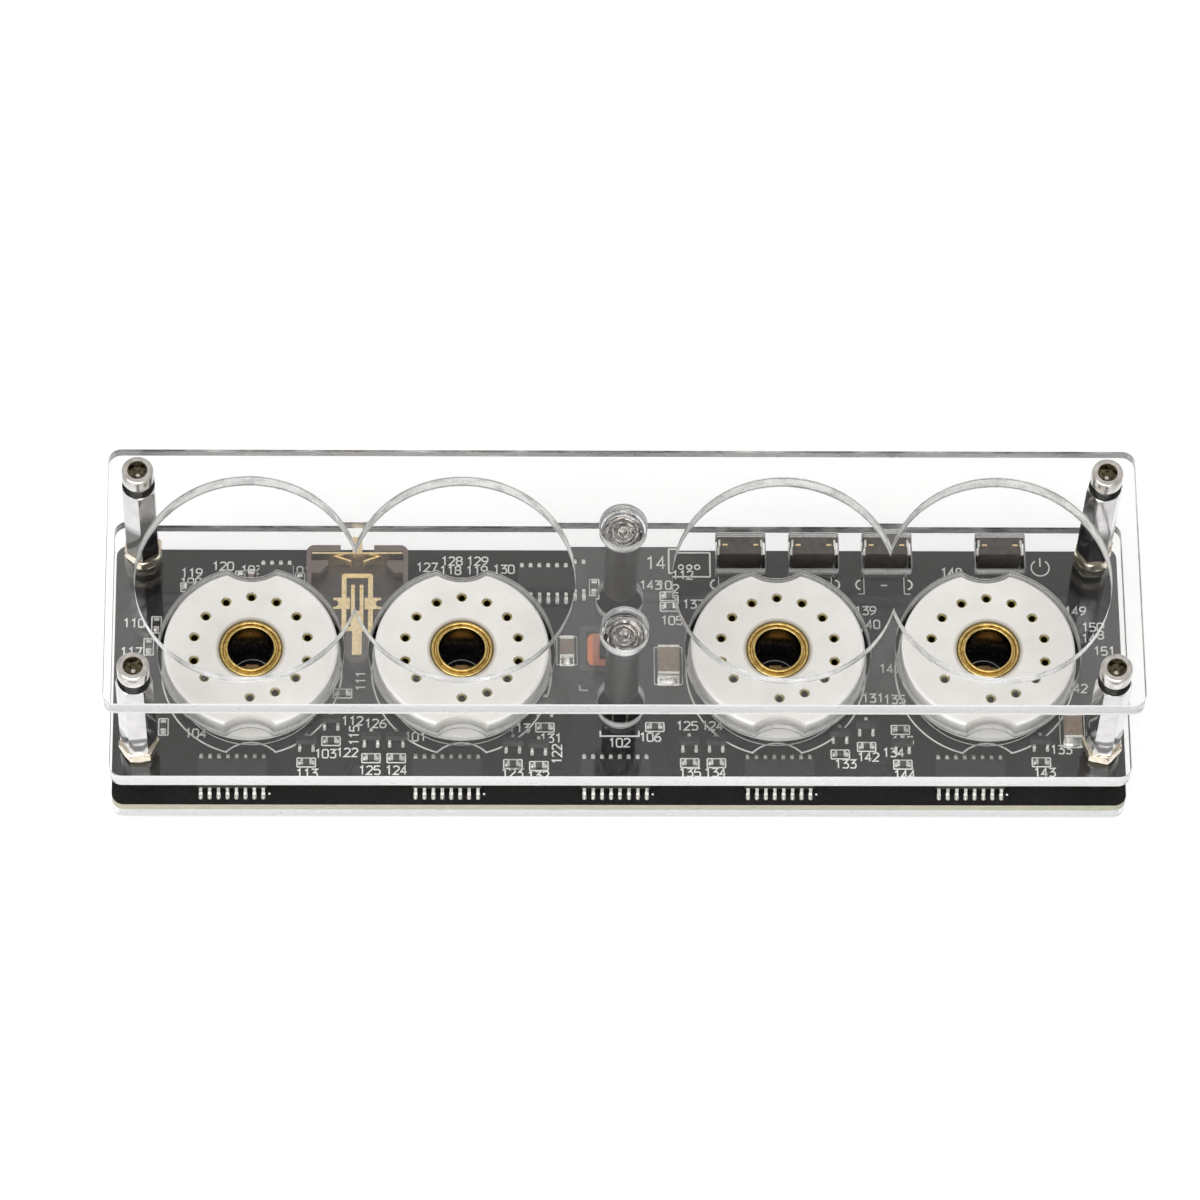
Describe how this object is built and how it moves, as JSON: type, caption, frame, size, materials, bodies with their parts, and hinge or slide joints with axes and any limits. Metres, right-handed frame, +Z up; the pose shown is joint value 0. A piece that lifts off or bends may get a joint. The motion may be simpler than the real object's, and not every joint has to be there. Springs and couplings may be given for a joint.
{
  "type": "nixie tube clock",
  "caption": "Clock base with clear plates on corner standoffs round a black circuit board, with round tube sockets, colon lamps and push buttons; tubes not fitted.",
  "frame": {"origin": "centre of the bottom plate's lower face", "axes": "+X along the clock's width to its right, +Y to its rear where the buttons are, +Z up"},
  "size_m": [0.1444, 0.041, 0.0391],
  "materials": {
    "clear_acrylic": "clear cast acrylic, laser-cut edges",
    "solder_mask": "black solder mask",
    "black_nylon": "matt nylon",
    "nickel": "nickel plate",
    "screw_steel": "bright steel",
    "ceramic": "glazed white ceramic",
    "brass": "polished brass",
    "gold_contact": "gold plate",
    "led_amber": "clear resin",
    "lamp_glass": "clear glass",
    "lamp_metal": "nickel sheet",
    "black_sleeve": "shrink sleeve",
    "holder_plastic": "smoky brown moulding",
    "switch_plastic": "moulded",
    "button_plastic": "moulded",
    "tinned": "tin plate",
    "chip_epoxy": "moulded epoxy",
    "ferrite": "ferrite",
    "copper": "enamelled copper",
    "capacitor_tan": "ceramic",
    "resistor_black": "glazed"
  },
  "bodies": {
    "base": {"bottom_plate": "clear_acrylic", "circuit_board": "solder_mask", "mid_plate": "clear_acrylic", "top_plate": "clear_acrylic", "bottom_screws": "screw_steel", "board_spacers": "black_nylon", "stack_nuts": "nickel", "standoffs": "nickel", "top_screws": "screw_steel", "socket_1": "ceramic", "socket_2": "ceramic", "socket_3": "ceramic", "socket_4": "ceramic", "socket_contacts_1": "gold_contact", "socket_contacts_2": "gold_contact", "socket_contacts_3": "gold_contact", "socket_contacts_4": "gold_contact", "socket_sleeve_1": "brass", "socket_sleeve_2": "brass", "socket_sleeve_3": "brass", "socket_sleeve_4": "brass", "tube_leds": "led_amber", "lamp_glass_front": "lamp_glass", "lamp_glass_rear": "lamp_glass", "lamp_electrodes_front": "lamp_metal", "lamp_electrodes_rear": "lamp_metal", "lamp_sleeve_front": "black_sleeve", "lamp_sleeve_rear": "black_sleeve", "battery_holder": "holder_plastic", "battery_contact_upper": "gold_contact", "battery_contact_lower": "gold_contact", "switch_body_1": "switch_plastic", "switch_body_2": "switch_plastic", "switch_body_3": "switch_plastic", "switch_body_4": "switch_plastic", "switch_frame_1": "tinned", "switch_frame_2": "tinned", "switch_frame_3": "tinned", "switch_frame_4": "tinned", "driver_chips": "chip_epoxy", "controller_chip": "chip_epoxy", "clock_chip": "chip_epoxy", "chip_leads": "tinned", "inductor_core": "ferrite", "inductor_coil": "copper", "capacitors": "capacitor_tan", "resistors": "resistor_black", "component_ends": "tinned", "transistors": "chip_epoxy", "transistor_leads": "tinned", "power_shell": "tinned", "power_tongue": "switch_plastic"},
    "plunger_1": {"button_1": "button_plastic"},
    "plunger_2": {"button_2": "button_plastic"},
    "plunger_3": {"button_3": "button_plastic"},
    "plunger_4": {"button_4": "button_plastic"}
  },
  "joints": [
    {"name": "button_1_press", "type": "slide", "parent": "base", "child": "plunger_1", "axis": [0, -1, 0], "range_m": [0, 0.00025], "stiffness_N_per_m": 800},
    {"name": "button_2_press", "type": "slide", "parent": "base", "child": "plunger_2", "axis": [0, -1, 0], "range_m": [0, 0.00025], "stiffness_N_per_m": 800},
    {"name": "button_3_press", "type": "slide", "parent": "base", "child": "plunger_3", "axis": [0, -1, 0], "range_m": [0, 0.00025], "stiffness_N_per_m": 800},
    {"name": "button_4_press", "type": "slide", "parent": "base", "child": "plunger_4", "axis": [0, -1, 0], "range_m": [0, 0.00025], "stiffness_N_per_m": 800}
  ]
}
